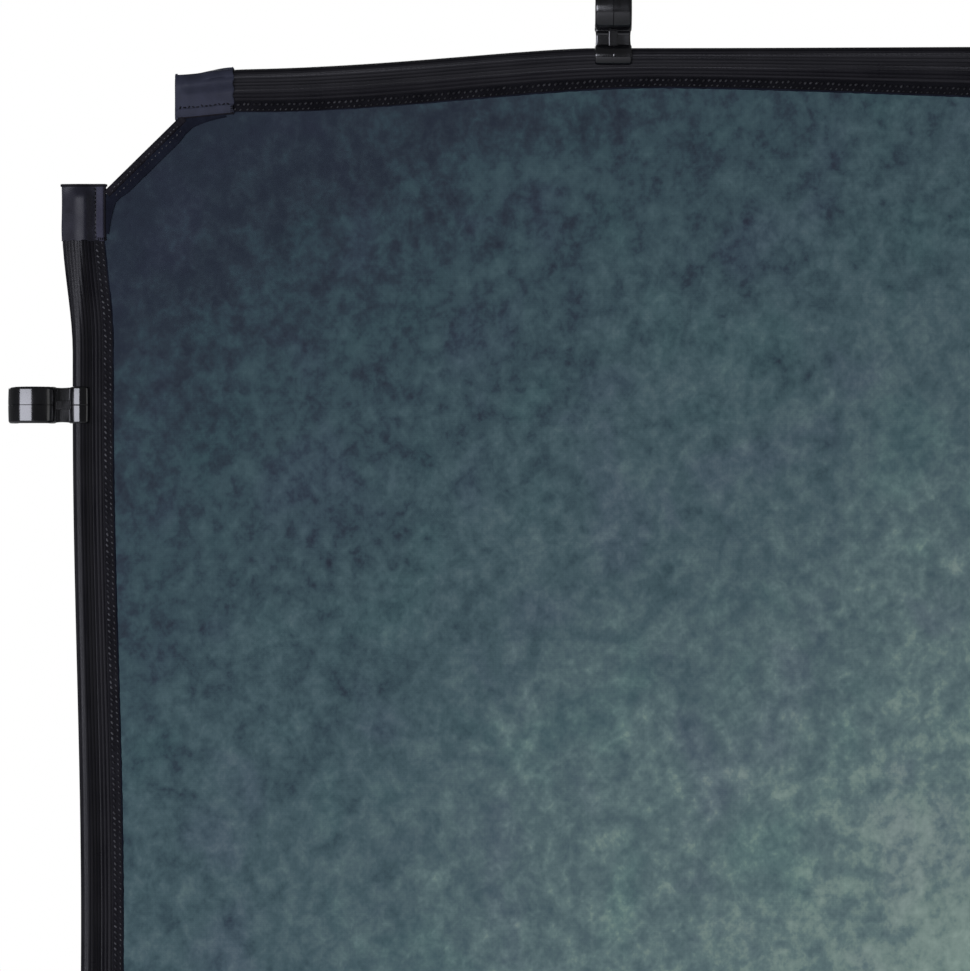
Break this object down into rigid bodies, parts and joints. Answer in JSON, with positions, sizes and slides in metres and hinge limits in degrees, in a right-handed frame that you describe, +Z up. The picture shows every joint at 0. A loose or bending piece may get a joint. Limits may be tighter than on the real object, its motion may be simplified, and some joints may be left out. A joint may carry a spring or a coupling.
{
  "type": "collapsible backdrop panel",
  "caption": "Flat printed cloth backdrop held taut by flexible rods in elastic edge sleeves, with snap clips for a tube frame, folding in thirds.",
  "frame": {"origin": "on the axis of the top centre clip's large jaw, where the panel hangs on the tube of its stand frame", "axes": "+Z up along the panel's height, +Y toward the plain back, the print faces -Y, +X to the right as seen from the front"},
  "size_m": [2.077, 0.024, 2.3771],
  "materials": {
    "printed_fabric": "mottled slate print on matt stretch fabric, plain dark back",
    "elastic_webbing": "black ribbed elastic",
    "pocket_tape": "smooth charcoal woven tape",
    "binding_tape": "black binding tape, stitched",
    "clip_plastic": "glossy black moulded plastic",
    "rod_fibreglass": "pale fibreglass rod, satin",
    "ferrule_brass": "plain drawn tube",
    "joint_rubber": "matt black flexible tube"
  },
  "bodies": {
    "upper_panel": {"fabric_upper": "printed_fabric", "sleeve_left_upper": "elastic_webbing", "rod_left_upper": "rod_fibreglass", "sleeve_right_upper": "elastic_webbing", "rod_right_upper": "rod_fibreglass", "sleeve_top": "elastic_webbing", "rod_top_left": "rod_fibreglass", "rod_top_right": "rod_fibreglass", "ferrule_top": "ferrule_brass", "corner_binding_top_left": "binding_tape", "pocket_top_left": "pocket_tape", "pocket_left_top": "pocket_tape", "corner_binding_top_right": "binding_tape", "pocket_top_right": "pocket_tape", "pocket_right_top": "pocket_tape", "joint_tube_left_upper": "joint_rubber", "joint_tube_right_upper": "joint_rubber"},
    "middle_panel": {"fabric_middle": "printed_fabric", "sleeve_left_middle": "elastic_webbing", "rod_left_middle": "rod_fibreglass", "sleeve_right_middle": "elastic_webbing", "rod_right_middle": "rod_fibreglass", "joint_tube_left_lower": "joint_rubber", "joint_tube_right_lower": "joint_rubber"},
    "lower_panel": {"fabric_lower": "printed_fabric", "sleeve_left_lower": "elastic_webbing", "rod_left_lower": "rod_fibreglass", "sleeve_right_lower": "elastic_webbing", "rod_right_lower": "rod_fibreglass", "sleeve_bottom": "elastic_webbing", "rod_bottom_left": "rod_fibreglass", "rod_bottom_right": "rod_fibreglass", "ferrule_bottom": "ferrule_brass", "corner_binding_bottom_left": "binding_tape", "pocket_bottom_left": "pocket_tape", "pocket_left_bottom": "pocket_tape", "corner_binding_bottom_right": "binding_tape", "pocket_bottom_right": "pocket_tape", "pocket_right_bottom": "pocket_tape"},
    "clip_left_1": {"clip_left_1": "clip_plastic"},
    "clip_left_2": {"clip_left_2": "clip_plastic"},
    "clip_left_3": {"clip_left_3": "clip_plastic"},
    "clip_left_4": {"clip_left_4": "clip_plastic"},
    "clip_right_1": {"clip_right_1": "clip_plastic"},
    "clip_right_2": {"clip_right_2": "clip_plastic"},
    "clip_right_3": {"clip_right_3": "clip_plastic"},
    "clip_right_4": {"clip_right_4": "clip_plastic"},
    "clip_top_1": {"clip_top_1": "clip_plastic"},
    "clip_top_2": {"clip_top_2": "clip_plastic"},
    "clip_top_3": {"clip_top_3": "clip_plastic"},
    "clip_bottom_1": {"clip_bottom_1": "clip_plastic"},
    "clip_bottom_2": {"clip_bottom_2": "clip_plastic"},
    "clip_bottom_3": {"clip_bottom_3": "clip_plastic"}
  },
  "joints": [
    {"name": "upper_fold", "type": "hinge", "parent": "upper_panel", "child": "middle_panel", "pos_m": [0, -0.008, -0.79052], "axis": [-1, 0, 0], "range_deg": [0, 178], "deforming": ["joint_tube_left_upper", "joint_tube_right_upper"]},
    {"name": "lower_fold", "type": "hinge", "parent": "middle_panel", "child": "lower_panel", "pos_m": [0, 0.026, -1.55718], "axis": [1, 0, 0], "range_deg": [0, 178], "deforming": ["joint_tube_left_lower", "joint_tube_right_lower"]},
    {"name": "clip_left_1_swivel", "type": "hinge", "parent": "upper_panel", "child": "clip_left_1", "pos_m": [-0.99565, 0, -0.23785], "axis": [0, 0, -1], "range_deg": [0, 75]},
    {"name": "clip_left_2_swivel", "type": "hinge", "parent": "middle_panel", "child": "clip_left_2", "pos_m": [-0.99565, 0, -0.86185], "axis": [0, 0, -1], "range_deg": [0, 75]},
    {"name": "clip_left_3_swivel", "type": "hinge", "parent": "middle_panel", "child": "clip_left_3", "pos_m": [-0.99565, 0, -1.48585], "axis": [0, 0, -1], "range_deg": [0, 75]},
    {"name": "clip_left_4_swivel", "type": "hinge", "parent": "lower_panel", "child": "clip_left_4", "pos_m": [-0.99565, 0, -2.10985], "axis": [0, 0, -1], "range_deg": [0, 75]},
    {"name": "clip_right_1_swivel", "type": "hinge", "parent": "upper_panel", "child": "clip_right_1", "pos_m": [0.99565, 0, -0.23785], "axis": [0, 0, 1], "range_deg": [0, 75]},
    {"name": "clip_right_2_swivel", "type": "hinge", "parent": "middle_panel", "child": "clip_right_2", "pos_m": [0.99565, 0, -0.86185], "axis": [0, 0, 1], "range_deg": [0, 75]},
    {"name": "clip_right_3_swivel", "type": "hinge", "parent": "middle_panel", "child": "clip_right_3", "pos_m": [0.99565, 0, -1.48585], "axis": [0, 0, 1], "range_deg": [0, 75]},
    {"name": "clip_right_4_swivel", "type": "hinge", "parent": "lower_panel", "child": "clip_right_4", "pos_m": [0.99565, 0, -2.10985], "axis": [0, 0, 1], "range_deg": [0, 75]},
    {"name": "clip_top_1_swivel", "type": "hinge", "parent": "upper_panel", "child": "clip_top_1", "pos_m": [-0.676, 0, -0.0282], "axis": [-1, 0, 0], "range_deg": [0, 75]},
    {"name": "clip_top_2_swivel", "type": "hinge", "parent": "upper_panel", "child": "clip_top_2", "pos_m": [0, 0, -0.0282], "axis": [-1, 0, 0], "range_deg": [0, 75]},
    {"name": "clip_top_3_swivel", "type": "hinge", "parent": "upper_panel", "child": "clip_top_3", "pos_m": [0.676, 0, -0.0282], "axis": [-1, 0, 0], "range_deg": [0, 75]},
    {"name": "clip_bottom_1_swivel", "type": "hinge", "parent": "lower_panel", "child": "clip_bottom_1", "pos_m": [-0.676, 0, -2.3195], "axis": [1, 0, 0], "range_deg": [0, 75]},
    {"name": "clip_bottom_2_swivel", "type": "hinge", "parent": "lower_panel", "child": "clip_bottom_2", "pos_m": [0, 0, -2.3195], "axis": [1, 0, 0], "range_deg": [0, 75]},
    {"name": "clip_bottom_3_swivel", "type": "hinge", "parent": "lower_panel", "child": "clip_bottom_3", "pos_m": [0.676, 0, -2.3195], "axis": [1, 0, 0], "range_deg": [0, 75]}
  ]
}
